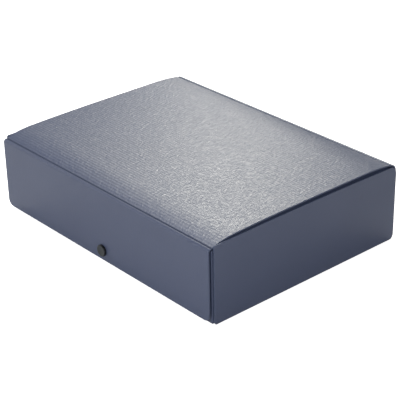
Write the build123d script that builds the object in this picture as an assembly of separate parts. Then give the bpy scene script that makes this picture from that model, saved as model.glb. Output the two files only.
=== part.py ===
from build123d import *
import os

# A closed box file folded from one creased plastic sheet. It stands on its base. X runs along the
# long front, Y from the flap back to the spine, and Z up. The origin is the middle of the base's
# underside. All sizes are in millimetres.

# The sheet and the box over its outer faces
sheet = 1.5
box_length = 330.0
box_depth = 251.0
box_height = 81.7         # over the lid's front fold

# The lid's top line above its front fold: it springs up steeply to a shoulder, runs almost level
# over a low crown to a second shoulder, and bends down to the rear fold
lid_front_slope = 0.36
lid_shoulder_back = 35.5
lid_shoulder_rise = 5.4
lid_shoulder_slope = 0.03
lid_crown_back = 185.0
lid_crown_rise = 6.7
lid_rear_shoulder_back = 225.0
lid_rear_shoulder_rise = 6.0
lid_rear_shoulder_slope = -0.07
lid_rear_rise = 3.9
lid_rear_slope = -0.2

# Top edges of the walls under the lid
front_wall_drop = 2.8     # below the top of the lid's front fold
end_wall_front_rise = 2.0 # above the top of the lid's front fold
end_wall_rear_drop = 2.6  # below the top of the lid's rear fold
end_wall_arch = 1.4       # middle of the end wall's top edge above its ends

# Clearances
flap_gap = 3.2           # flap's inner face to the front wall
lid_side_gap = 0.5       # lid's and flap's ends to the inner faces of the end walls
hinge_gap = 0.3          # moving panel's edge to the crease beside it
end_wall_setback = 0.8   # front wall's outer face to the front edge of the end walls
tab_gap = 0.9            # tab's outer face to the inner face of the end wall

# Outer radii of the folds
lid_front_fold = 3.5
lid_rear_fold = 9.0
front_base_fold = 2.5
rear_base_fold = 3.0
end_base_fold = 2.0
corner_fold = 1.8

# Pressed groove beside the lid's folds: radius of the rounding on each side of it
groove = 1.1

# Front flap
flap_lift = 5.0          # flap's lower edge above the base
flap_corner = 7.0

# Tabs inside the end walls
tab_length = 50.0
tab_corner = 8.0
front_tab_drop = 1.0     # front tab's top edge below that of the front wall
rear_tab_drop = 3.5      # rear tab's top edge below that of the spine
front_relief = 2.0       # height at which the front corner creases and tabs start
rear_relief = 7.0

# Cut corners of the end walls and of the base
end_corner_front_low = 4.0
end_corner_front_top = 2.0
end_corner_rear_low = 7.0
end_corner_rear_top = 8.0
base_corner = 5.0

# Press stud
stud_x = 3.5             # a little to the right of the middle
stud_height = 16.0
stem_radius = 1.6
stem_clearance = 0.1
cap_radius = 6.2
cap_height = 2.6
cap_rim = 1.1
cap_dish = 0.35
cap_edge = 0.9
rivet_radius = 2.2
rivet_height = 0.25
socket_radius = 5.35
socket_height = 1.9
socket_clearance = 0.4
socket_edge = 0.35
post_flange_radius = 4.6
post_flange_height = 0.3
post_radius = 2.2
post_height = 1.8
post_neck = 0.3
back_radius = 5.35
back_height = 1.2
back_edge = 0.5

# Places that follow from the sizes above
end_outer = box_length / 2
end_inner = end_outer - sheet
tab_outer = end_inner - tab_gap
lid_half = end_inner - lid_side_gap
flap_outer = -box_depth / 2
flap_inner = flap_outer + sheet
wall_outer = flap_inner + flap_gap
wall_inner = wall_outer + sheet
spine_outer = box_depth / 2
spine_inner = spine_outer - sheet
end_front = wall_outer + end_wall_setback
end_rear = spine_inner
wall_half = tab_outer - corner_fold
lid_front = flap_outer + lid_front_fold
lid_rear = spine_outer - lid_rear_fold
lid_rear_height = box_height + lid_rear_rise
flap_top = box_height - lid_front_fold
spine_top = lid_rear_height - lid_rear_fold
front_wall_height = box_height - front_wall_drop
end_wall_front_height = box_height + end_wall_front_rise
end_wall_rear_height = lid_rear_height - end_wall_rear_drop


def bent_strip(centre, outer, start, inner=None):
    """Quarter ring of sheet round a centre, turning 90 degrees from the start angle."""
    inner = outer - sheet if inner is None else inner
    outside = CenterArc(centre, outer, start, 90)
    inside = CenterArc(centre, inner, start, 90)
    return make_face([outside, Line(outside @ 1, inside @ 1), inside, Line(inside @ 0, outside @ 0)])


def rectangle(low, high):
    """Rectangle between two corners."""
    width = high[0] - low[0]
    height = high[1] - low[1]
    return Pos(low[0] + width / 2, low[1] + height / 2) * Rectangle(width, height)


def nearest_corner(outline, point):
    """The outline's corner nearest to a point."""
    return outline.vertices().sort_by_distance((point[0], point[1], 0))[0]


def round_corner(outline, corner, radius):
    """Outline with the corner nearest to a point rounded."""
    return fillet(nearest_corner(outline, corner), radius)


def cut_corner(outline, corner, size):
    """Outline with the corner nearest to a point cut at 45 degrees."""
    return chamfer(nearest_corner(outline, corner), size)


def along_x(profile, half):
    """A Y-Z profile drawn out to both sides of the middle."""
    return extrude(Plane.YZ * profile, half, both=True)


def slab_y(outline, front, back):
    """An X-Z outline given thickness from front to back."""
    placed = Plane((0, front, 0), x_dir=(1, 0, 0), z_dir=(0, -1, 0)) * outline
    return extrude(placed, front - back)


def slab_x(outline, low, high):
    """A Y-Z outline given thickness along X."""
    return extrude(Plane.YZ.offset(low) * outline, high - low)


def slab_z(outline, low, high):
    """An X-Y outline given thickness upwards."""
    return extrude(Plane.XY.offset(low) * outline, high - low)


def lid_line(drop):
    """The lid's top line, lowered by a drop."""
    stations = [
        (lid_front + hinge_gap, 0, lid_front_slope),
        (flap_outer + lid_shoulder_back, lid_shoulder_rise, lid_shoulder_slope),
        (flap_outer + lid_crown_back, lid_crown_rise, 0),
        (flap_outer + lid_rear_shoulder_back, lid_rear_shoulder_rise, lid_rear_shoulder_slope),
        (lid_rear - hinge_gap, lid_rear_rise, lid_rear_slope),
    ]
    points = [(y, box_height - drop + rise) for y, rise, _ in stations]
    return Spline(points, tangents=[(1, slope) for _, _, slope in stations])


def end_outline():
    """The whole end wall seen from the side, with its arched top edge and four cut corners."""
    front_top = (end_front, end_wall_front_height)
    rear_top = (end_rear, end_wall_rear_height)
    middle_height = (end_wall_front_height + end_wall_rear_height) / 2
    crown = ((end_front + end_rear) / 2, middle_height + end_wall_arch)
    foot = Polyline(front_top, (end_front, 0), (end_rear, 0), rear_top)
    outline = make_face([*foot.edges(), ThreePointArc(rear_top, crown, front_top)])
    outline = round_corner(outline, (end_front, 0), end_corner_front_low)
    outline = round_corner(outline, (end_rear, 0), end_corner_rear_low)
    outline = round_corner(outline, front_top, end_corner_front_top)
    return round_corner(outline, rear_top, end_corner_rear_top)


def wall_outline(relief, top):
    """The front wall or spine seen from the front, its lower corners cut by the relief's radius."""
    outline = rectangle((-tab_outer, 0), (tab_outer, top))
    outline = round_corner(outline, (-tab_outer, 0), relief)
    return round_corner(outline, (tab_outer, 0), relief)


def stud_hole(outer, inner):
    """Hole through the flap or the front wall for a stem of the press stud."""
    return slab_y(Pos(stud_x, stud_height) * Circle(stem_radius + stem_clearance), outer, inner)


def base_panel():
    low = (-end_outer + end_base_fold, wall_outer + front_base_fold)
    high = (end_outer - end_base_fold, spine_outer - rear_base_fold)
    outline = rectangle(low, high)
    outline = fillet(outline.vertices(), base_corner)
    return slab_z(outline, 0, sheet)


def front_wall():
    outline = rectangle((-wall_half, front_base_fold), (wall_half, front_wall_height))
    return slab_y(outline, wall_outer, wall_inner) - stud_hole(wall_outer, wall_inner)


def spine_panel():
    outline = rectangle((-wall_half, rear_base_fold), (wall_half, spine_top))
    whole = slab_y(outline, spine_inner, spine_outer)
    return whole & slab_y(wall_outline(rear_relief, spine_top), spine_inner, spine_outer)


def end_wall(side):
    foot = rectangle((end_front, 0), (end_rear, end_base_fold))
    return slab_x(end_outline() - foot, *sorted((side * end_inner, side * end_outer)))


def front_base_crease():
    centre = (wall_outer + front_base_fold, front_base_fold)
    strip = along_x(bent_strip(centre, front_base_fold, 180), wall_half)
    return strip & slab_y(wall_outline(front_relief, front_base_fold), wall_outer, centre[0])


def rear_base_crease():
    centre = (spine_outer - rear_base_fold, rear_base_fold)
    strip = along_x(bent_strip(centre, rear_base_fold, 270), wall_half)
    return strip & slab_y(wall_outline(rear_relief, rear_relief + rear_base_fold), centre[0], spine_outer)


def end_base_crease(side):
    centre = (side * (end_outer - end_base_fold), end_base_fold)
    strip = slab_y(bent_strip(centre, end_base_fold, 270 if side > 0 else 180), end_front, end_rear)
    return strip & slab_x(end_outline(), *sorted((centre[0], side * end_outer)))


def tab_span(front):
    """Lowest and highest point of a tab and of the corner crease that carries it."""
    if front:
        return front_relief, front_wall_height - front_tab_drop
    return rear_relief, spine_top - rear_tab_drop


def corner_crease(side, front):
    """Upright fold that turns the front wall's or the spine's end into its tab."""
    x = side * wall_half
    y = wall_outer + corner_fold if front else spine_outer - corner_fold
    quarter = {(1, True): 270, (-1, True): 180, (1, False): 0, (-1, False): 90}[(side, front)]
    return slab_z(bent_strip((x, y), corner_fold, quarter), *tab_span(front))


def tab(side, front):
    """Tab that stands just inside the end wall."""
    low, top = tab_span(front)
    root = wall_outer + corner_fold if front else spine_outer - corner_fold
    free = root + tab_length if front else root - tab_length
    outline = rectangle((min(root, free), low), (max(root, free), top))
    outline = round_corner(outline, (free, low), tab_corner)
    outline = round_corner(outline, (free, top), tab_corner)
    return slab_x(outline, *sorted((side * (tab_outer - sheet), side * tab_outer)))


def lid_panel():
    top, under = lid_line(0), lid_line(sheet)
    profile = make_face([top, Line(top @ 1, under @ 1), under, Line(under @ 0, top @ 0)])
    for end in (top @ 0, top @ 1):
        profile = round_corner(profile, (end.X, end.Y), groove)
    return along_x(profile, lid_half)


def lid_crease(centre, fold, start, groove_end):
    """Live hinge beside the lid, with the pressed groove on its lid side."""
    strip = bent_strip(centre, fold, start)
    return along_x(round_corner(strip, groove_end, groove), lid_half)


def lid_rear_crease():
    centre = (lid_rear, spine_top)
    return lid_crease(centre, lid_rear_fold, 0, (lid_rear, lid_rear_height))


def lid_front_crease():
    centre = (lid_front, flap_top)
    return lid_crease(centre, lid_front_fold, 90, (lid_front, box_height))


def front_flap():
    low, high = (-lid_half, flap_lift), (lid_half, flap_top)
    outline = rectangle(low, high)
    outline = round_corner(outline, low, flap_corner)
    outline = round_corner(outline, (lid_half, flap_lift), flap_corner)
    return slab_y(outline, flap_outer, flap_inner) - stud_hole(flap_outer, flap_inner)


def turned(profile, seat, outwards):
    """A profile of radius and height turned about the stud's axis, seated on a face."""
    axis_plane = Plane((stud_x, seat, stud_height), x_dir=(1, 0, 0), z_dir=(0, outwards, 0))
    return axis_plane * revolve(Plane.XZ * profile, Axis.Z)


def stud_cap():
    """Button outside the flap, its stem and the head riveted over inside."""
    end = -sheet - rivet_height
    disc = rectangle((0, 0), (cap_radius, cap_height))
    disc = round_corner(disc, (cap_radius, cap_height), cap_edge)
    dish = rectangle((0, cap_height - cap_dish), (cap_radius - cap_rim, cap_height))
    dish = cut_corner(dish, (cap_radius - cap_rim, cap_height - cap_dish), cap_dish / 2)
    stem = rectangle((0, end), (stem_radius, 0))
    head = rectangle((0, end), (rivet_radius, -sheet))
    return turned(disc - dish + stem + head, flap_outer, -1)


def stud_socket():
    """Ring inside the flap that snaps over the post."""
    bore = post_radius + socket_clearance
    ring = rectangle((bore, 0), (socket_radius, socket_height))
    ring = cut_corner(ring, (bore, socket_height), socket_edge)
    ring = cut_corner(ring, (socket_radius, socket_height), socket_edge)
    return turned(ring, flap_inner, 1)


def stud_post():
    """Male half outside the front wall: a flange and a waisted head."""
    flange = rectangle((0, 0), (post_flange_radius, post_flange_height))
    head = rectangle((0, post_flange_height), (post_radius, post_height))
    head = cut_corner(head, (post_radius, post_height), post_neck)
    head = cut_corner(head, (post_radius, post_flange_height), post_neck)
    neck = rectangle((0, 0), (post_radius - post_neck, post_height))
    return turned(flange + head + neck, wall_outer, -1)


def stud_back():
    """Disc inside the front wall with the stem that carries the post."""
    disc = rectangle((0, 0), (back_radius, back_height))
    disc = cut_corner(disc, (back_radius, back_height), back_edge)
    stem = rectangle((0, -sheet), (stem_radius, 0))
    return turned(disc + stem, wall_inner, 1)


sides = {"left": -1, "right": 1}
parts = {
    "base_panel": base_panel(),
    "front_wall": front_wall(),
    "spine_panel": spine_panel(),
    "front_base_crease": front_base_crease(),
    "rear_base_crease": rear_base_crease(),
    "lid_panel": lid_panel(),
    "lid_rear_crease": lid_rear_crease(),
    "front_flap": front_flap(),
    "lid_front_crease": lid_front_crease(),
    "stud_cap": stud_cap(),
    "stud_socket": stud_socket(),
    "stud_post": stud_post(),
    "stud_back": stud_back(),
}
for name, side in sides.items():
    parts[f"{name}_end_wall"] = end_wall(side)
    parts[f"{name}_base_crease"] = end_base_crease(side)
    for place, front in (("front", True), ("rear", False)):
        parts[f"{place}_{name}_corner_crease"] = corner_crease(side, front)
        parts[f"{place}_{name}_tab"] = tab(side, front)

os.makedirs("parts", exist_ok=True)
for name, solid in parts.items():
    solid.label = name
    export_step(solid, f"parts/{name}.step")

# Hinge axes: the middle of each live hinge's sheet
front_reach = (lid_front_fold - sheet / 2) * 2 ** -0.5
rear_reach = (lid_rear_fold - sheet / 2) * 2 ** -0.5
print("lid hinge y, z:", round(lid_rear + rear_reach, 3), round(spine_top + rear_reach, 3))
print("flap hinge y, z:", round(lid_front - front_reach, 3), round(flap_top + front_reach, 3))
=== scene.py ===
import math

import bmesh
import bpy
from bpy.props import FloatProperty, FloatVectorProperty, IntProperty, PointerProperty
from mathutils import Matrix, Vector


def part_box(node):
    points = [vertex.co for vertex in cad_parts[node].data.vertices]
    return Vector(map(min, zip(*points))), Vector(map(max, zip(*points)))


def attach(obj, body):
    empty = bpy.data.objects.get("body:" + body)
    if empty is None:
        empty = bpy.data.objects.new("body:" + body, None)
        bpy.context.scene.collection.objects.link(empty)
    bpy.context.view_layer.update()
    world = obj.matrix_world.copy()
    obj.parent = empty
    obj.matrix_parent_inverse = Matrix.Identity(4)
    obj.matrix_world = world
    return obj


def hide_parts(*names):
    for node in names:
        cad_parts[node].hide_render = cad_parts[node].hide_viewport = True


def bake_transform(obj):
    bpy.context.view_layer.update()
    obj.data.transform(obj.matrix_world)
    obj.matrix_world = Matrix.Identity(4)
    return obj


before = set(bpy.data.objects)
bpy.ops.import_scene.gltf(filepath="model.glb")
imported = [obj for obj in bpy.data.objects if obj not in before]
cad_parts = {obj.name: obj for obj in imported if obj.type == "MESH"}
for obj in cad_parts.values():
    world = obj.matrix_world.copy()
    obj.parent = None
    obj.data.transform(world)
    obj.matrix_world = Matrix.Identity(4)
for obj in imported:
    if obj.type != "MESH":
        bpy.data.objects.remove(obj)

bl_info = {
    "name": "Box file",
    "version": (1, 0, 0),
    "blender": (4, 5, 0),
    "location": "View3D > Sidebar > Box file",
    "description": "Finish for a closed box file folded from one embossed plastic sheet",
    "category": "Object",
}

MM = 0.001
SIDES = ("left", "right")

# Material slots of a sheet piece, and of the press stud's cap
# A sheet piece's third slot is painted shade
FACE, CUT, PAINTED_SHADE = 0, 1, 2
# The cap's second slot is a painted reflection of the pale floor
POLISHED, PAINTED_SHEEN = 0, 1

FAINT = 0.12  # share of the lid's pressed depth that the upright walls and the base show
WELD = 0.001 * MM  # corners nearer to each other than this are one
FLAT = math.radians(0.05)  # faces that turn by less than this are one face
SHARP = math.radians(50)  # edges that turn by more than this are corners
ON_PLANE = 0.02 * MM  # corners nearer to a plane than this lie on it
SQUARE = 0.9  # a face looks along an axis where its normal has more than this share on it

NOISE_RANGE = (0.38, 0.62)  # most of a noise texture lies between these
ONE_BAND = 2 * math.pi / 20  # scale at which a wave texture has one band a metre
POLYPROPYLENE_IOR = 1.49
ACETAL_IOR = 1.48

# Azimuth and elevation in degrees, power in watts, colour. The back lamps are those that the lid
# mirrors to the camera. Sides and distances are in metres
WHITE, WARM = (1.0, 1.0, 1.0), (1.0, 0.98, 0.88)
LAMPS = {
    "front_left_lamp": (-133, 12, 2.3, WHITE),
    "front_lamp": (-60, 30, 7.3, WHITE),
    "right_lamp": (-20, 8, 1.9, WHITE),
    "left_lamp_low": (205, 35, 1.8, WHITE),
    "left_lamp_high": (170, 62, 6.5, WHITE),
    "back_right_lamp": (110, 14, 1.4, WARM),
    "back_lamp_low": (135, 14, 1.1, WARM),
    "back_lamp_middle": (135, 34, 5.3, WARM),
    "back_lamp_high": (145, 46, 5.2, WARM),
}
LAMP_SIDE = 0.35
LAMP_DISTANCE = 1.5
LAMP_AIM = Vector((0, 0, 0.05))
FLOOR_REACH = 4.0  # from the floor's middle to its sides
FLOOR_LIGHT = 0.85  # brings the painted floor up to white
SURROUNDING_LIGHT = 0.18  # strength of the white surroundings as a light


def linear(hexa):
    """An sRGB hex colour as linear RGB."""
    values = [int(hexa[i:i + 2], 16) / 255 for i in (1, 3, 5)]
    return [v / 12.92 if v <= 0.04045 else ((v + 0.055) / 1.055) ** 2.4 for v in values]


class BoxFileSizes(bpy.types.PropertyGroup):
    """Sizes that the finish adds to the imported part."""

    cut_edge: FloatProperty(
        name="Cut edge", description="Rounding that the die leaves along a cut edge of the sheet",
        default=0.18 * MM, min=0.0, max=0.5 * MM, precision=5, unit="LENGTH", subtype="DISTANCE")
    groove_round: FloatProperty(
        name="Groove rounding", description="Rounding of the pressed groove beside a live hinge",
        default=1.1 * MM, min=0.1 * MM, max=1.4 * MM,
        precision=5, unit="LENGTH", subtype="DISTANCE")
    groove_width: FloatProperty(
        name="Groove width", description="How far the groove's rounding runs out over the lid",
        default=2.0 * MM, min=0.5 * MM, max=3 * MM,
        precision=5, unit="LENGTH", subtype="DISTANCE")
    web: FloatProperty(
        name="Web", description="Sheet that the pressed groove leaves at its bottom",
        default=0.4 * MM, min=0.2 * MM, max=1.2 * MM,
        precision=5, unit="LENGTH", subtype="DISTANCE")
    line_pitch: FloatProperty(
        name="Line pitch", description="Distance between the pressed lines, coarse enough to show",
        default=3.3 * MM, min=0.8 * MM, max=6 * MM,
        precision=5, unit="LENGTH", subtype="DISTANCE")
    line_height: FloatProperty(
        name="Line height", description="Height of the pressed lines",
        default=0.055 * MM, min=0.0, max=0.4 * MM,
        precision=6, unit="LENGTH", subtype="DISTANCE")
    streak_width: FloatProperty(
        name="Streak width", description="Width of the shallow hollows that cross the lines",
        default=1.6 * MM, min=0.5 * MM, max=6 * MM,
        precision=5, unit="LENGTH", subtype="DISTANCE")
    streak_length: FloatProperty(
        name="Streak length", description="Length of the shallow hollows that cross the lines",
        default=5 * MM, min=1 * MM, max=40 * MM, precision=5, unit="LENGTH", subtype="DISTANCE")
    streak_depth: FloatProperty(
        name="Streak depth", description="Depth of the shallow hollows that cross the lines",
        default=0.4 * MM, min=0.0, max=2 * MM, precision=6, unit="LENGTH", subtype="DISTANCE")
    roughness: FloatProperty(
        name="Roughness", description="Mean roughness of the sheet's pressed face",
        default=0.38, min=0.1, max=0.9)
    rubbed: FloatProperty(
        name="Rubbed", description="How much shinier the raised streaks are than the mean",
        default=0.06, min=0.0, max=0.2)
    # Painted light: the inside faces glow by this much, standing in for light that comes through
    # the sheet
    painted_glow: FloatProperty(
        name="Light through the sheet",
        description="How bright the inside faces are from light that comes through the sheet",
        default=0.18, min=0.0, max=1.0)
    fold_steps: IntProperty(
        name="Fold steps", description="Faces round each quarter fold", default=14, min=4, max=48)
    stud_edge: FloatProperty(
        name="Stud edge", description="Rounding of the press stud's small edges",
        default=0.12 * MM, min=0.0, max=0.4 * MM, precision=5, unit="LENGTH", subtype="DISTANCE")
    cap_rim: FloatProperty(
        name="Cap rim", description="Width of the rim round the cap's dish",
        default=1.1 * MM, min=0.3 * MM, max=3 * MM,
        precision=5, unit="LENGTH", subtype="DISTANCE")
    cap_dish: FloatProperty(
        name="Cap dish", description="Depth of the cap's dish",
        default=0.35 * MM, min=0.0, max=1.2 * MM, precision=5, unit="LENGTH", subtype="DISTANCE")
    cap_round: FloatProperty(
        name="Cap rounding", description="Rounding of the cap's outer edge",
        default=0.6 * MM, min=0.0, max=1.5 * MM, precision=5, unit="LENGTH", subtype="DISTANCE")
    cap_stem: FloatProperty(
        name="Cap stem", description="Radius of the stem through the flap",
        default=1.6 * MM, min=0.5 * MM, max=1.65 * MM,
        precision=5, unit="LENGTH", subtype="DISTANCE")
    cap_rivet: FloatProperty(
        name="Cap rivet", description="Radius of the head riveted over inside the flap",
        default=2.2 * MM, min=0.5 * MM, max=2.5 * MM,
        precision=5, unit="LENGTH", subtype="DISTANCE")
    stud_steps: IntProperty(
        name="Stud steps", description="Faces round the press stud", default=72, min=24, max=128)


class BoxFileColours(bpy.types.PropertyGroup):
    """Colours of the finish."""

    sheet: FloatVectorProperty(
        name="Sheet", description="Slate blue of the sheet",
        default=linear("#4B546E"), min=0.0, max=1.0, subtype="COLOR")
    sheet_pale: FloatVectorProperty(
        name="Sheet, paler", description="Paler patches of the sheet",
        default=linear("#515A74"), min=0.0, max=1.0, subtype="COLOR")
    cut_edge: FloatVectorProperty(
        name="Cut edge", description="Die-cut edge of the sheet",
        default=linear("#5C667F"), min=0.0, max=1.0, subtype="COLOR")
    # Painted shade: darker than the sheet, standing in for the shade in the pressed grooves and in
    # the slits beside the upright corner folds
    groove: FloatVectorProperty(
        name="Groove", description="Pressed groove beside a live hinge",
        default=linear("#343D56"), min=0.0, max=1.0, subtype="COLOR")
    stud: FloatVectorProperty(
        name="Press stud", description="Polished black of the press stud",
        default=linear("#17191C"), min=0.0, max=1.0, subtype="COLOR")
    # Painted reflection: paler grey than the stud, standing in for the pale floor that the cap's
    # face mirrors
    cap_face_painted_sheen: FloatVectorProperty(
        name="Cap face", description="Dull face of the press stud's cap",
        default=linear("#34383A"), min=0.0, max=1.0, subtype="COLOR")
    floor: FloatVectorProperty(
        name="Floor", description="Plain pale floor",
        default=linear("#F4F4F4"), min=0.0, max=1.0, subtype="COLOR")


def sizes():
    """The sizes of the finish."""
    return bpy.context.scene.box_file_sizes


def colours():
    """The colours of the finish."""
    return bpy.context.scene.box_file_colours


def add(tree, kind, inputs=None, **settings):
    """Add a node, set its properties, and set or link its inputs."""
    node = tree.nodes.new(kind)
    for key, value in settings.items():
        setattr(node, key, value)
    for key, value in (inputs or {}).items():
        if isinstance(value, bpy.types.NodeSocket):
            tree.links.new(value, node.inputs[key])
        else:
            node.inputs[key].default_value = value
    return node


def material(name, nodes, **values):
    """The material of this name. The first time, nodes fills its tree and returns its shader."""
    if name not in bpy.data.materials:
        made = bpy.data.materials.new(name)
        made.use_nodes = True
        tree = made.node_tree
        tree.nodes.clear()
        shader = nodes(tree, **values)
        add(tree, "ShaderNodeOutputMaterial", {"Surface": shader.outputs[0]})
    return bpy.data.materials[name]


def outer_side(tree, place):
    """1 on the outside of the box and 0 on its inside, from the face's own direction."""
    middle = (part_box("base_panel")[0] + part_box("lid_panel")[1]) / 2
    away = add(tree, "ShaderNodeVectorMath", {
        0: place.outputs["Object"], 1: middle}, operation="SUBTRACT")
    facing = add(tree, "ShaderNodeVectorMath", {
        0: place.outputs["Normal"], 1: away.outputs["Vector"]}, operation="DOT_PRODUCT")
    return add(tree, "ShaderNodeMath", {
        0: facing.outputs["Value"], 1: 0.0}, operation="GREATER_THAN")


def embossed_sheet(tree, across, pressed):
    """Polypropylene sheet, calendered with a matt grain and pressed with fine parallel lines.

    The eye sees a dull slate blue that turns pale where it mirrors a lamp at a low angle, and
    there the pressed lines break the shine into short streaks. Across is the axis that the lines
    cross, or UV on a fold, and pressed is the share of their full depth.
    """
    size, colour = sizes(), colours()
    on_fold = across == "UV"
    axis = "Y" if on_fold else across
    place = add(tree, "ShaderNodeTexCoord")
    at = place.outputs["UV" if on_fold else "Object"]

    patches_per_metre = 14.0
    patches = add(tree, "ShaderNodeTexNoise", {
        "Vector": at, "Scale": patches_per_metre, "Detail": 2.0})
    tint = add(tree, "ShaderNodeMix", {
        "Factor": patches.outputs["Fac"],
        "A": (*colour.sheet, 1), "B": (*colour.sheet_pale, 1)}, data_type="RGBA")

    # Matt grain of the rolls
    grain_width, grain_height = 0.8 * MM, 0.01 * MM
    grain = add(tree, "ShaderNodeTexNoise", {
        "Vector": at, "Scale": 1 / grain_width, "Detail": 1.0})
    grained = add(tree, "ShaderNodeBump", {
        "Height": grain.outputs["Fac"], "Distance": grain_height, "Strength": 1.0})

    # Pressed lines, drawn coarser than the real ones so that they show
    lines = add(tree, "ShaderNodeTexWave", {
        "Vector": at, "Scale": ONE_BAND / size.line_pitch,
        "Distortion": 2.5, "Detail": 2.0, "Detail Scale": 0.6, "Detail Roughness": 0.5},
        wave_type="BANDS", bands_direction=axis)
    raised = add(tree, "ShaderNodeMath", {
        0: lines.outputs["Fac"], 1: size.line_height * pressed}, operation="MULTIPLY")

    # Short shallow hollows that cross the lines, also drawn coarser than the real ones
    wide, long = 1 / size.streak_width, 1 / size.streak_length
    crossing = (wide, long, wide) if axis == "Y" else (wide, wide, long)
    stretched = add(tree, "ShaderNodeMapping", {"Vector": at, "Scale": crossing})
    streaks = add(tree, "ShaderNodeTexNoise", {
        "Vector": stretched.outputs["Vector"], "Scale": 1.0, "Detail": 2.0})
    worn = streaks.outputs["Fac"]
    height = add(tree, "ShaderNodeMath", {
        0: worn, 1: size.streak_depth * pressed, 2: raised.outputs["Value"]},
        operation="MULTIPLY_ADD").outputs["Value"]

    light = {}
    if not on_fold:
        # Only the outside is pressed and rubbed, so the inside stays plain and dull
        outer = outer_side(tree, place).outputs["Value"]
        height, worn = (
            add(tree, "ShaderNodeMath", {0: value, 1: outer}, operation="MULTIPLY").outputs["Value"]
            for value in (height, worn))
        # Painted light: the inside faces glow a little, standing in for light that comes through
        # the sheet, so the inside of the closed box isn't black
        through = add(tree, "ShaderNodeMapRange", {
            "Value": outer, "To Min": size.painted_glow, "To Max": 0.0})
        light = {"Emission Strength": through.outputs["Result"],
                 "Emission Color": tint.outputs["Result"]}
    # The height is in metres already
    pressed_face = add(tree, "ShaderNodeBump", {
        "Height": height, "Distance": 1.0, "Strength": 1.0, "Normal": grained.outputs["Normal"]})

    # The raised streaks are rubbed shinier than the hollows between them
    rubbed = size.rubbed * pressed
    rough = add(tree, "ShaderNodeMapRange", {
        "Value": worn, "From Min": NOISE_RANGE[0], "From Max": NOISE_RANGE[1],
        "To Min": size.roughness + rubbed, "To Max": size.roughness - rubbed})
    return add(tree, "ShaderNodeBsdfPrincipled", {
        "Base Color": tint.outputs["Result"], "Roughness": rough.outputs["Result"],
        "IOR": POLYPROPYLENE_IOR, "Normal": pressed_face.outputs["Normal"], **light})


def die_cut_edge(tree):
    """Die-cut edge of polypropylene sheet.

    The blade leaves it rough, so the eye sees a dull line a little paler than the pressed face.
    """
    mark_width, mark_height = 0.6 * MM, 0.03 * MM
    place = add(tree, "ShaderNodeTexCoord")
    marks = add(tree, "ShaderNodeTexNoise", {
        "Vector": place.outputs["Object"], "Scale": 1 / mark_width, "Detail": 2.0})
    tint = add(tree, "ShaderNodeMix", {
        "Factor": marks.outputs["Fac"],
        "A": (*colours().cut_edge, 1), "B": (*colours().sheet, 1)}, data_type="RGBA")
    bump = add(tree, "ShaderNodeBump", {
        "Height": marks.outputs["Fac"], "Distance": mark_height, "Strength": 1.0})
    return add(tree, "ShaderNodeBsdfPrincipled", {
        "Base Color": tint.outputs["Result"], "Roughness": 0.65, "IOR": POLYPROPYLENE_IOR,
        "Normal": bump.outputs["Normal"]})


def groove_painted_shade(tree):
    """Painted shade on polypropylene sheet, in the pressed grooves and in the slits beside the
    corner folds.

    The eye sees a dark smooth line of painted shade, paler in short stretches where the sheet's own
    blue shows.
    """
    stretch_length, stretch_width, most_blue = 9 * MM, MM, 0.6
    place = add(tree, "ShaderNodeTexCoord")
    along = add(tree, "ShaderNodeMapping", {
        "Vector": place.outputs["Object"],
        "Scale": (1 / stretch_length, 1 / stretch_width, 1 / stretch_width)})
    stretches = add(tree, "ShaderNodeTexNoise", {
        "Vector": along.outputs["Vector"], "Scale": 1.0, "Detail": 2.0})
    share = add(tree, "ShaderNodeMath", {
        0: stretches.outputs["Fac"], 1: most_blue}, operation="MULTIPLY")
    tint = add(tree, "ShaderNodeMix", {
        "Factor": share.outputs["Value"],
        "A": (*colours().groove, 1), "B": (*colours().sheet, 1)}, data_type="RGBA")
    return add(tree, "ShaderNodeBsdfPrincipled", {
        "Base Color": tint.outputs["Result"], "Roughness": 0.75, "IOR": POLYPROPYLENE_IOR})


def moulded_acetal(tree, colour, roughness, grain_height):
    """Acetal, injection moulded, with the fine grain of its die."""
    grain_width = 0.3 * MM
    place = add(tree, "ShaderNodeTexCoord")
    grain = add(tree, "ShaderNodeTexNoise", {
        "Vector": place.outputs["Object"], "Scale": 1 / grain_width, "Detail": 2.0})
    bump = add(tree, "ShaderNodeBump", {
        "Height": grain.outputs["Fac"], "Distance": grain_height, "Strength": 1.0})
    return add(tree, "ShaderNodeBsdfPrincipled", {
        "Base Color": (*colour, 1), "Roughness": roughness, "IOR": ACETAL_IOR,
        "Normal": bump.outputs["Normal"]})


def matt_floor(tree):
    """Board painted matt white.

    The eye sees plain white and the box's soft shadow, and the camera never sees a horizon.
    """
    light = add(tree, "ShaderNodeLightPath")
    # The strip of floor behind the box is lit white too, and the lid's rear fold mirrors it
    place = add(tree, "ShaderNodeTexCoord")
    along = add(tree, "ShaderNodeSeparateXYZ", {"Vector": place.outputs["Object"]})
    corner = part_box("lid_rear_crease")[1]
    behind = add(tree, "ShaderNodeMath", {
        0: along.outputs["Y"], 1: corner.y}, operation="GREATER_THAN")
    beside = add(tree, "ShaderNodeMath", {
        0: along.outputs["X"], 1: corner.x}, operation="LESS_THAN")
    strip = add(tree, "ShaderNodeMath", {
        0: behind.outputs["Value"], 1: beside.outputs["Value"]}, operation="MULTIPLY")
    mirrored = add(tree, "ShaderNodeMath", {
        0: light.outputs["Is Glossy Ray"], 1: strip.outputs["Value"]}, operation="MULTIPLY")
    shown = add(tree, "ShaderNodeMath", {
        0: light.outputs["Is Camera Ray"], 1: mirrored.outputs["Value"]}, operation="MAXIMUM")
    paint = add(tree, "ShaderNodeBsdfDiffuse", {"Color": (*colours().floor, 1)})
    white = add(tree, "ShaderNodeEmission", {"Color": (1, 1, 1, 1), "Strength": FLOOR_LIGHT})
    lit = add(tree, "ShaderNodeAddShader", {
        0: paint.outputs["BSDF"], 1: white.outputs["Emission"]})
    return add(tree, "ShaderNodeMixShader", {
        0: shown.outputs["Value"], 1: paint.outputs["BSDF"], 2: lit.outputs["Shader"]})


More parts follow.
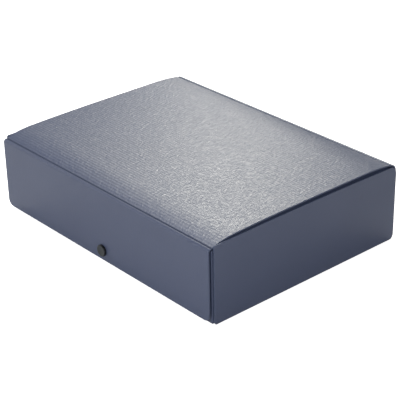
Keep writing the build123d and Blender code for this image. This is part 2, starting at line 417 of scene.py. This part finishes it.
def sheet_finishes(across, pressed=FAINT, with_shade_slot=False):
    """The materials of a sheet piece in the order of its slots."""
    kind = "faint_lines" if pressed == FAINT else "lines"
    where = "on_folds" if across == "UV" else f"across_{across.lower()}"
    finishes = [
        material(f"polypropylene_{kind}_{where}", embossed_sheet, across=across, pressed=pressed),
        material("polypropylene_die_cut_edge", die_cut_edge)]
    # The third slot is painted shade
    if with_shade_slot:
        finishes.append(material("polypropylene_groove_painted_shade", groove_painted_shade))
    return finishes


def polished_acetal():
    """Acetal from a polished die: the eye sees deep black with small highlights."""
    return material("acetal_black_polished", moulded_acetal,
                    colour=colours().stud, roughness=0.3, grain_height=0.005 * MM)


def acetal_painted_sheen():
    """The cap's face: acetal painted a paler grey, a painted reflection of the pale floor that it
    mirrors, with a rougher grain.
    """
    return material("acetal_black_face_painted_sheen", moulded_acetal,
                    colour=colours().cap_face_painted_sheen, roughness=0.5, grain_height=0.02 * MM)


def merged_copy(node):
    """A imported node's mesh, welded and with its flat faces joined."""
    bm = bmesh.new()
    bm.from_mesh(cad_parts[node].data)
    bmesh.ops.remove_doubles(bm, verts=bm.verts, dist=WELD)
    bmesh.ops.dissolve_limit(bm, angle_limit=FLAT, verts=bm.verts, edges=bm.edges)
    return bm


def round_edges(bm, edges, radius, steps):
    """Round edges to a radius in a number of steps."""
    bmesh.ops.bevel(bm, geom=edges, offset=radius, offset_type="OFFSET", affect="EDGES",
                    segments=steps, profile=0.5, material=-1, clamp_overlap=True)


def soften(bm, radius, skip=()):
    """Round the sharp edges, except those on a skipped plane, each an axis and a place on it."""
    def skipped(edge):
        return any(all(abs(v.co[axis] - place) < ON_PLANE for v in edge.verts)
                   for axis, place in skip)

    sharp = [edge for edge in bm.edges
             if len(edge.link_faces) == 2 and edge.calc_face_angle() > SHARP and not skipped(edge)]
    round_edges(bm, sharp, radius, 2)


def looks_along(face, axes, share=SQUARE):
    """True where a face looks along one of the axes, either way."""
    return any(abs(face.normal["XYZ".index(axis)]) > share for axis in axes)


def finish_piece(name, bm, finishes, node, body=None, choose=None):
    """Make a bmesh a smooth piece that stands for a node. Choose gives a face its finish."""
    for face in bm.faces:
        face.smooth = True
        if choose:
            face.material_index = choose(face)
    mesh = bpy.data.meshes.new(name)
    bm.to_mesh(mesh)
    bm.free()
    mesh.set_sharp_from_angle(angle=SHARP)
    for finish in finishes:
        mesh.materials.append(finish)
    piece = bpy.data.objects.new(name, mesh)
    bpy.context.scene.collection.objects.link(piece)
    piece.modifiers.new("face normals", "WEIGHTED_NORMAL").keep_sharp = True
    if body:
        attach(piece, body)
    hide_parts(node)
    return piece


class BOXFILE_OT_lid(bpy.types.Operator):
    """Lid: the sprung panel between the two live hinges"""
    bl_idname = "box_file.lid"
    bl_label = "Lid"

    def execute(self, context):
        low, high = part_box("lid_panel")
        depth, width = sizes().groove_round, sizes().groove_width
        slack = 0.05 * MM
        bm = merged_copy("lid_panel")
        # The groove's rounding runs out further over the lid than it is deep
        for vert in bm.verts:
            for edge, inward in ((low.y, 1), (high.y, -1)):
                along = inward * (vert.co.y - edge)
                if along < depth + slack:
                    vert.co.y = edge + inward * along * width / depth
        soften(bm, sizes().cut_edge)

        # The ends' rounded edges are cut too. The lid's strip beside the front hinge takes the
        # groove's painted shade, but not on the underside
        sideways, underside = 0.3, -0.5

        def finish(face):
            if looks_along(face, "X", sideways):
                return CUT
            beside_front = face.calc_center_median().y - low.y < width
            return PAINTED_SHADE if beside_front and face.normal.z > underside else FACE

        finish_piece("lid_sheet", bm, sheet_finishes("Y", pressed=1.0, with_shade_slot=True),
                     "lid_panel", "lid", finish)
        return {"FINISHED"}


class BOXFILE_OT_flap(bpy.types.Operator):
    """Front flap with its two rounded lower corners"""
    bl_idname = "box_file.flap"
    bl_label = "Front flap"

    def execute(self, context):
        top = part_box("front_flap")[1].z
        bm = merged_copy("front_flap")
        soften(bm, sizes().cut_edge, skip=[(2, top)])
        finish_piece("flap_sheet", bm, sheet_finishes("Z"), "front_flap", "flap",
                     lambda face: FACE if looks_along(face, "Y") else CUT)
        return {"FINISHED"}


class BOXFILE_OT_hinges(bpy.types.Operator):
    """The two live hinges, each a bead of sheet beside its pressed groove"""
    bl_idname = "box_file.hinges"
    bl_label = "Live hinges"

    def execute(self, context):
        self.build("front_live_hinge", "lid_front_crease", ("flap", "lid"), front=True)
        self.build("rear_live_hinge", "lid_rear_crease", ("tray", "lid"), front=False)
        return {"FINISHED"}

    def build(self, name, node, bodies, front):
        """A strip turned up from the upright panel, with its groove and the thin web to the lid."""
        low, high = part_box(node)
        lid_low, lid_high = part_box("lid_panel")
        flap_low, flap_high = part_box("front_flap")
        thickness = flap_high.y - flap_low.y
        fold = high.y - low.y
        outward, outer, lid_edge = (-1, low.y, lid_low.y) if front else (1, high.y, lid_high.y)
        inner = outer - outward * thickness
        centre = Vector((0, outer - outward * fold, low.z))

        bm = bmesh.new()
        start = bm.faces.new([bm.verts.new((x, y, centre.z)) for x, y in (
            (-high.x, outer), (high.x, outer), (high.x, inner), (-high.x, inner))])
        turned = bmesh.ops.spin(bm, geom=[start], cent=centre, axis=(1, 0, 0),
                                angle=outward * math.pi / 2, steps=sizes().fold_steps,
                                use_duplicate=False)
        end = next(item for item in turned["geom_last"] if isinstance(item, bmesh.types.BMFace))
        brow = max(end.edges, key=lambda edge: sum(v.co.z for v in edge.verts))
        bmesh.ops.recalc_face_normals(bm, faces=bm.faces)
        round_edges(bm, [brow], sizes().groove_round, 5)

        # The web closes the groove's bottom as far as the lid's edge
        squarely = 0.999
        end = max((f for f in bm.faces if -outward * f.normal.y > squarely),
                  key=lambda f: f.calc_area())
        grown = bmesh.ops.extrude_face_region(bm, geom=[end])
        verts = [item for item in grown["geom"] if isinstance(item, bmesh.types.BMVert)]
        bmesh.ops.translate(bm, verts=verts, vec=(0, lid_edge - centre.y, 0))
        bmesh.ops.delete(bm, geom=[end], context="FACES")
        web_top = min(v.co.z for v in verts) + sizes().web
        for vert in verts:
            vert.co.z = min(vert.co.z, web_top)
        bmesh.ops.recalc_face_normals(bm, faces=bm.faces)
        self.unwrap(bm, centre, fold)

        # The bead's front keeps the sheet's finish, and its top and the groove take painted shade.
        # The wide rear fold has no painted shade, so all of it keeps the sheet's finish
        bead_front = -0.2

        def finish(face):
            if looks_along(face, "X"):
                return CUT
            return PAINTED_SHADE if front and face.normal.y > bead_front else FACE

        piece = finish_piece(name, bm, sheet_finishes("UV", with_shade_slot=True), node,
                             choose=finish)
        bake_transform(piece)

    @staticmethod
    def unwrap(bm, centre, fold):
        """Lay the strip's surface flat, in metres: along the box, and round the fold."""
        layer = bm.loops.layers.uv.new("strip")
        for face in bm.faces:
            for loop in face.loops:
                away = loop.vert.co - centre
                loop[layer].uv = (away.x, math.atan2(away.z, abs(away.y)) * fold)


class BOXFILE_OT_end_walls(bpy.types.Operator):
    """The two end walls with their arched top edges"""
    bl_idname = "box_file.end_walls"
    bl_label = "End walls"

    def execute(self, context):
        for side in SIDES:
            node = f"{side}_end_wall"
            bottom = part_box(node)[0].z
            bm = merged_copy(node)
            soften(bm, sizes().cut_edge, skip=[(2, bottom)])
            finish_piece(f"{side}_end_sheet", bm, sheet_finishes("Y"), node, "tray",
                         lambda face: FACE if looks_along(face, "X") else CUT)
        return {"FINISHED"}


class BOXFILE_OT_tray(bpy.types.Operator):
    """Base, front wall, spine, folds and tabs"""
    bl_idname = "box_file.tray"
    bl_label = "Tray"

    def execute(self, context):
        # Each piece with the axis that its lines cross and the axes that its cut faces look along
        pieces = {"base_panel": ("Y", "XY"), "front_wall": ("Z", "XZ"), "spine_panel": ("Z", "XZ"),
                  "front_base_crease": ("Y", "X"), "rear_base_crease": ("Y", "X")}
        for side in SIDES:
            pieces[f"{side}_base_crease"] = ("Y", "Y")
            for end in ("front", "rear"):
                pieces[f"{end}_{side}_tab"] = ("Z", "YZ")
                pieces[f"{end}_{side}_corner_crease"] = ("Z", "Z")
        for node, (across, cut) in pieces.items():
            self.build(node, across, cut)
        return {"FINISHED"}

    def build(self, node, across, cut):
        """One piece of the tray. A fold's ends meet its neighbours, so they aren't rounded."""
        ends = [(axis, corner[axis]) for axis in range(3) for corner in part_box(node)]
        bm = merged_copy(node)
        soften(bm, sizes().cut_edge, skip=ends if node.endswith("crease") else ())
        upright = node.endswith("corner_crease")
        turned_out = 0.75

        def finish(face):
            if looks_along(face, cut):
                return CUT
            # Painted shade: the upright corner folds' faces that look sideways take the dark groove
            # colour, for the slit between them and the end wall
            return PAINTED_SHADE if upright and looks_along(face, "X", turned_out) else FACE

        finish_piece(f"{node}_sheet", bm, sheet_finishes(across, with_shade_slot=True),
                     node, "tray", finish)


class BOXFILE_OT_stud(bpy.types.Operator):
    """Press stud: cap, socket, post and back"""
    bl_idname = "box_file.stud"
    bl_label = "Press stud"

    def execute(self, context):
        self.cap()
        for node, body in (("stud_socket", "flap"), ("stud_post", "tray"), ("stud_back", "tray")):
            bm = merged_copy(node)
            soften(bm, sizes().stud_edge)
            finish_piece(f"{node}_moulding", bm, [polished_acetal()], node, body)
        return {"FINISHED"}

    def cap(self):
        """Dished button, its stem through the flap, and the head riveted over inside."""
        size = sizes()
        low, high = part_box("stud_cap")
        flap_low, flap_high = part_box("front_flap")
        radius, height = (high.x - low.x) / 2, flap_low.y - low.y
        inside, rivet = flap_low.y - flap_high.y, flap_low.y - high.y

        # Radius and height above the flap's face, from the middle of the dish to the rivet's head
        rings, dish = 6, radius - size.cap_rim
        hollow = [(dish * ring / rings, height - size.cap_dish * (1 - (ring / rings) ** 2))
                  for ring in range(rings + 1)]
        profile = hollow + [
            (radius, height), (radius, 0), (size.cap_stem, 0), (size.cap_stem, inside),
            (size.cap_rivet, inside), (size.cap_rivet, rivet), (0, rivet)]
        bm = bmesh.new()
        points = [bm.verts.new((r, 0, z)) for r, z in profile]
        edges = [bm.edges.new(pair) for pair in zip(points, points[1:])]
        bmesh.ops.spin(bm, geom=points + edges, cent=(0, 0, 0), axis=(0, 0, 1), angle=2 * math.pi,
                       steps=size.stud_steps, use_merge=True, use_duplicate=False)
        bmesh.ops.remove_doubles(bm, verts=bm.verts, dist=WELD)
        bmesh.ops.recalc_face_normals(bm, faces=bm.faces)

        def outermost(vert):
            return vert.co.xy.length > radius - ON_PLANE and vert.co.z > height / 2

        brow = [edge for edge in bm.edges
                if all(outermost(v) for v in edge.verts) and edge.calc_face_angle() > SHARP]
        round_edges(bm, brow, size.cap_round, 5)
        soften(bm, size.stud_edge)

        middle = (low + high) / 2
        place = Matrix.Translation((middle.x, flap_low.y, middle.z))
        turn = Matrix.Rotation(math.pi / 2, 4, "X")
        bmesh.ops.transform(bm, matrix=place @ turn, verts=bm.verts)
        dished = low.y + 0.6 * MM

        # Painted reflection: the cap's forward face takes the paler grey, and the rest stays
        # polished black
        def finish(face):
            ahead = face.normal.y < -SQUARE and face.calc_center_median().y < dished
            return PAINTED_SHEEN if ahead else POLISHED

        finish_piece("stud_cap_moulding", bm, [polished_acetal(), acetal_painted_sheen()],
                     "stud_cap", "flap", finish)


class BOXFILE_OT_stage(bpy.types.Operator):
    """Floor, white surroundings, soft lamps and the camera"""
    bl_idname = "box_file.stage"
    bl_label = "Stage"

    def execute(self, context):
        self.floor(context.scene)
        self.world(context.scene)
        for name, setting in LAMPS.items():
            self.lamp(context.scene, name, *setting)
        self.camera(context.scene)
        context.scene.view_settings.view_transform = "Standard"
        return {"FINISHED"}

    def floor(self, scene):
        """A wide pale floor that stays white to the camera, apart from the box's soft shadow."""
        bm = bmesh.new()
        bmesh.ops.create_grid(bm, x_segments=2, y_segments=2, size=FLOOR_REACH)
        mesh = bpy.data.meshes.new("floor")
        bm.to_mesh(mesh)
        bm.free()
        mesh.materials.append(material("floor_matt_white", matt_floor))
        floor = bpy.data.objects.new("floor", mesh)
        scene.collection.objects.link(floor)

    def world(self, scene):
        """Even white surroundings: dim as a light, full white to the camera."""
        world = bpy.data.worlds.new("studio")
        world.use_nodes = True
        tree = world.node_tree
        tree.nodes.clear()
        light = add(tree, "ShaderNodeLightPath")
        strength = add(tree, "ShaderNodeMapRange", {
            "Value": light.outputs["Is Camera Ray"], "To Min": SURROUNDING_LIGHT, "To Max": 1.0})
        sky = add(tree, "ShaderNodeBackground", {
            "Color": (1, 1, 1, 1), "Strength": strength.outputs["Result"]})
        add(tree, "ShaderNodeOutputWorld", {"Surface": sky.outputs["Background"]})
        scene.world = world

    def lamp(self, scene, name, azimuth, elevation, power, colour):
        """A square softbox at a compass angle and a height, in degrees, that faces the box."""
        light = bpy.data.lights.new(name, "AREA")
        light.shape = "SQUARE"
        light.size = LAMP_SIDE
        light.energy = power
        light.color = colour
        around, up = math.radians(azimuth), math.radians(elevation)
        away = Vector((
            math.cos(up) * math.cos(around), math.cos(up) * math.sin(around), math.sin(up)))
        lamp = bpy.data.objects.new(name, light)
        lamp.location = LAMP_AIM + LAMP_DISTANCE * away
        lamp.rotation_euler = (-away).to_track_quat("-Z", "Y").to_euler()
        scene.collection.objects.link(lamp)

    def camera(self, scene):
        """The photograph's viewpoint: place, right, down and forward."""
        place = Vector((0.94546, -0.80510, 0.66344))
        right = Vector((0.65802, 0.75279, -0.01779))
        down = Vector((0.33326, -0.31233, -0.88960))
        forward = Vector((-0.67524, 0.57944, -0.45640))
        data = bpy.data.cameras.new("camera")
        data.sensor_width = 36.0
        data.lens = 120.02
        turn = Matrix((right, -down, -forward)).transposed().to_4x4()
        camera = bpy.data.objects.new("camera", data)
        camera.matrix_world = Matrix.Translation(place) @ turn
        scene.collection.objects.link(camera)
        scene.camera = camera


class BOXFILE_PT_panel(bpy.types.Panel):
    """Lists the sizes, the colours and the pieces of the box file"""
    bl_label = "Box file"
    bl_idname = "BOXFILE_PT_panel"
    bl_space_type = "VIEW_3D"
    bl_region_type = "UI"
    bl_category = "Box file"

    def draw(self, context):
        layout = self.layout
        for group in (sizes(), colours()):
            column = layout.column(align=True)
            for key in group.bl_rna.properties.keys():
                if key not in ("rna_type", "name"):
                    column.prop(group, key)
        for operator in OPERATORS:
            layout.operator(operator.bl_idname)


OPERATORS = (BOXFILE_OT_lid, BOXFILE_OT_flap, BOXFILE_OT_hinges, BOXFILE_OT_end_walls,
             BOXFILE_OT_tray, BOXFILE_OT_stud, BOXFILE_OT_stage)
CLASSES = (BoxFileSizes, BoxFileColours, *OPERATORS, BOXFILE_PT_panel)


def register():
    for item in CLASSES:
        bpy.utils.register_class(item)
    bpy.types.Scene.box_file_sizes = PointerProperty(type=BoxFileSizes)
    bpy.types.Scene.box_file_colours = PointerProperty(type=BoxFileColours)


def unregister():
    del bpy.types.Scene.box_file_colours
    del bpy.types.Scene.box_file_sizes
    for item in reversed(CLASSES):
        bpy.utils.unregister_class(item)


def main():
    register()
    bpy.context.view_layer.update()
    bpy.ops.box_file.lid()
    bpy.ops.box_file.flap()
    bpy.ops.box_file.hinges()
    bpy.ops.box_file.end_walls()
    bpy.ops.box_file.tray()
    bpy.ops.box_file.stud()
    bpy.ops.box_file.stage()


if __name__ == "__main__":
    main()
